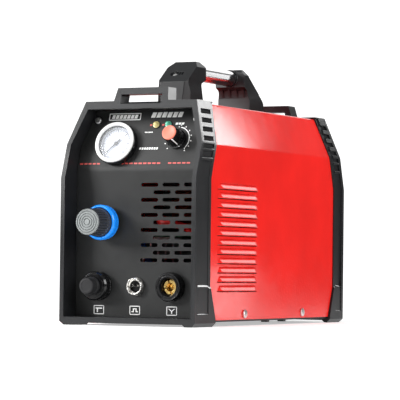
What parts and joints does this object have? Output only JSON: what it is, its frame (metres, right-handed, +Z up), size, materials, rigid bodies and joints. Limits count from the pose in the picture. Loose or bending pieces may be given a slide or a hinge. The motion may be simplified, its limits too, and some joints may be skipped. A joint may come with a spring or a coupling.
{
  "type": "plasma cutter unit",
  "caption": "Portable inverter plasma cutter in a red louvred steel cover between two raked black bezels, with a chrome tube handle, air gauge, regulator and lead sockets.",
  "frame": {"origin": "on the floor under the middle of the unit, midway between the regulator knob's face and the air inlet's end", "axes": "+Z up, +Y towards the rear panel, +X to the operator's right when facing the control panel"},
  "size_m": [0.155, 0.41, 0.2778],
  "materials": {
    "black_plastic": "satin, lightly textured",
    "panel_black": "satin black paint",
    "red_paint": "gloss orange-peel powder coat",
    "black_steel": "satin black paint",
    "chrome": "polished",
    "zinc": "bright zinc plate",
    "blue_plastic": "smooth moulded",
    "grey_plastic": "ribbed, with a light end cap",
    "knob_black": "smooth moulded",
    "white_plastic": "smooth white",
    "needle_black": "painted",
    "clear_glass": "clear window",
    "amber_lens": "tinted lens",
    "green_lens": "tinted lens",
    "orange_plastic": "smooth cap",
    "brass": "turned",
    "nickel": "nickel plate",
    "rubber": "matt",
    "aluminium": "as extruded",
    "circuit_board": "solder mask",
    "copper": "enamelled wire",
    "ferrite": "sintered",
    "capacitor_sleeve": "shrink sleeve",
    "red_plastic": "moulded or insulated",
    "blue_hose": "polyurethane tube"
  },
  "bodies": {
    "chassis": {"front_bezel": "black_plastic", "rear_bezel": "black_plastic", "front_panel": "panel_black", "rear_panel": "panel_black", "top_cover": "red_paint", "base_tray": "black_steel", "side_screw_left_1": "zinc", "side_screw_left_2": "zinc", "side_screw_right_1": "zinc", "side_screw_right_2": "zinc", "front_panel_screw_left": "zinc", "front_panel_screw_right": "zinc", "rear_panel_screw_left": "zinc", "rear_panel_screw_right": "zinc", "handle_tower_front": "black_plastic", "handle_tower_rear": "black_plastic", "handle_screw_front": "zinc", "handle_screw_rear": "zinc", "handle_tube": "chrome", "gauge_case": "knob_black", "gauge_rim": "white_plastic", "gauge_dial": "white_plastic", "gauge_glass": "clear_glass", "lamp_fault": "amber_lens", "lamp_power": "green_lens", "amp_potentiometer": "aluminium", "regulator_nut": "knob_black", "regulator_ring": "blue_plastic", "regulator_body": "aluminium", "torch_connector": "knob_black", "control_socket_shell": "nickel", "control_socket_insert": "knob_black", "work_socket_body": "knob_black", "work_socket_contact": "brass", "fan_housing": "rubber", "cable_gland": "rubber", "air_inlet": "brass", "earth_stud": "zinc", "switch_frame": "knob_black", "heat_sink_left": "aluminium", "heat_sink_right": "aluminium", "main_board": "circuit_board", "capacitor_1": "capacitor_sleeve", "capacitor_2": "capacitor_sleeve", "transformer_core": "ferrite", "transformer_winding": "copper", "output_choke": "copper", "pilot_arc_board": "circuit_board", "solenoid_valve": "brass", "air_supply_hose": "blue_hose", "torch_hose": "blue_hose", "work_lead": "red_plastic"},
    "amp_knob": {"amp_knob": "knob_black", "amp_knob_cap": "orange_plastic"},
    "regulator_spindle": {"regulator_spindle": "brass"},
    "regulator_knob": {"regulator_knob": "grey_plastic"},
    "gauge_needle": {"gauge_needle": "needle_black"},
    "fan_rotor": {"fan_rotor": "rubber"},
    "switch_rocker": {"switch_rocker": "red_plastic"},
    "torch_dust_cap": {"torch_dust_cap": "rubber"}
  },
  "joints": [
    {"name": "amp_turn", "type": "hinge", "parent": "chassis", "child": "amp_knob", "pos_m": [0.038, -0.15302, 0.19], "axis": [0, -0.9489, 0.3156], "range_deg": [0, 300]},
    {"name": "regulator_turn", "type": "hinge", "parent": "chassis", "child": "regulator_spindle", "pos_m": [-0.037, -0.163, 0.105], "axis": [0, -1, 0], "range_deg": [-720, 720]},
    {"name": "regulator_pull", "type": "slide", "parent": "regulator_spindle", "child": "regulator_knob", "axis": [0, -1, 0], "range_m": [0, 0.003]},
    {"name": "gauge_sweep", "type": "hinge", "parent": "chassis", "child": "gauge_needle", "pos_m": [-0.0295, -0.15465, 0.1851], "axis": [0, 0.9489, -0.3156], "range_deg": [0, 270], "stiffness_Nm_per_rad": 0.0002},
    {"name": "fan_spin", "type": "hinge", "parent": "chassis", "child": "fan_rotor", "pos_m": [0, 0.155, 0.098], "axis": [0, 1, 0], "continuous": true},
    {"name": "rocker_tilt", "type": "hinge", "parent": "chassis", "child": "switch_rocker", "pos_m": [0.034, 0.15735, 0.192], "axis": [1, 0, 0], "range_deg": [0, 18]},
    {"name": "dust_cap_pull", "type": "slide", "parent": "chassis", "child": "torch_dust_cap", "axis": [0, -1, 0], "range_m": [0, 0.03]}
  ]
}
